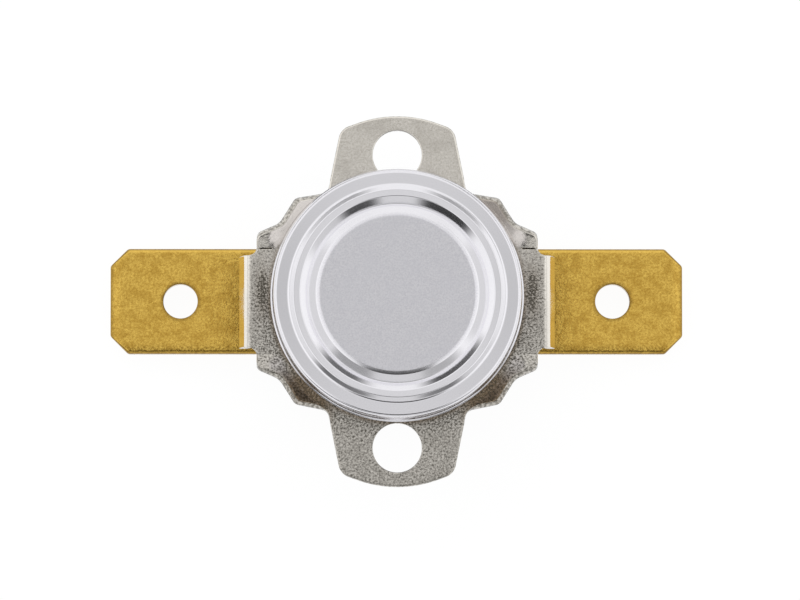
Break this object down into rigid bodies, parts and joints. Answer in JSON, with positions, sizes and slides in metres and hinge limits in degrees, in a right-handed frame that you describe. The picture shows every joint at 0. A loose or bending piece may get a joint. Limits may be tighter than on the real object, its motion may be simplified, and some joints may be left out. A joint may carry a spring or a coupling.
{
  "type": "snap disc temperature switch",
  "caption": "Snap disc temperature switch with an aluminium sensing cap, a holed clamping bracket and flat brass blade terminals.",
  "frame": {"origin": "midway between the bracket's two ear holes, on the plane of the body's back face", "axes": "+Z towards the sensing face, X along the blade terminals, Y along the bracket's ears"},
  "size_m": [0.0342, 0.022, 0.0098],
  "materials": {
    "cap_aluminium": "satin, drawn sheet",
    "bracket_steel": "satin nickel plate",
    "body_phenolic": "moulded, fine mineral filler",
    "terminal_brass": "rolled, slightly tarnished",
    "rivet_brass": "headed",
    "guide_ceramic": "unglazed",
    "pin_ceramic": "ground",
    "disc_bimetal": "rolled",
    "arm_bronze": "rolled spring strip",
    "contact_silver": "coined"
  },
  "bodies": {
    "housing": {"cap": "cap_aluminium", "bracket": "bracket_steel", "body": "body_phenolic", "terminal_left": "terminal_brass", "terminal_right": "terminal_brass", "rivet_left": "rivet_brass", "rivet_right": "rivet_brass", "pin_guide": "guide_ceramic", "bimetal_disc": "disc_bimetal", "contact_plate": "terminal_brass", "fixed_contact": "contact_silver"},
    "contact_arm": {"contact_arm": "arm_bronze", "moving_contact": "contact_silver"},
    "push_pin": {"push_pin": "pin_ceramic"}
  },
  "joints": [
    {"name": "arm_flex", "type": "hinge", "parent": "housing", "child": "contact_arm", "pos_m": [-0.00392, 0.00035, 0.00561], "axis": [0, 1, 0], "range_deg": [0, 5.84], "stiffness_Nm_per_rad": 0.004, "springref_deg": -11.46},
    {"name": "pin_slide", "type": "slide", "parent": "housing", "child": "push_pin", "axis": [0, 0, -1], "range_m": [0, 0.00041], "deforming": ["bimetal_disc"]}
  ],
  "couplings": [
    {"joint": "pin_slide", "follows": "arm_flex", "m_per_rad": 0.0039222}
  ]
}
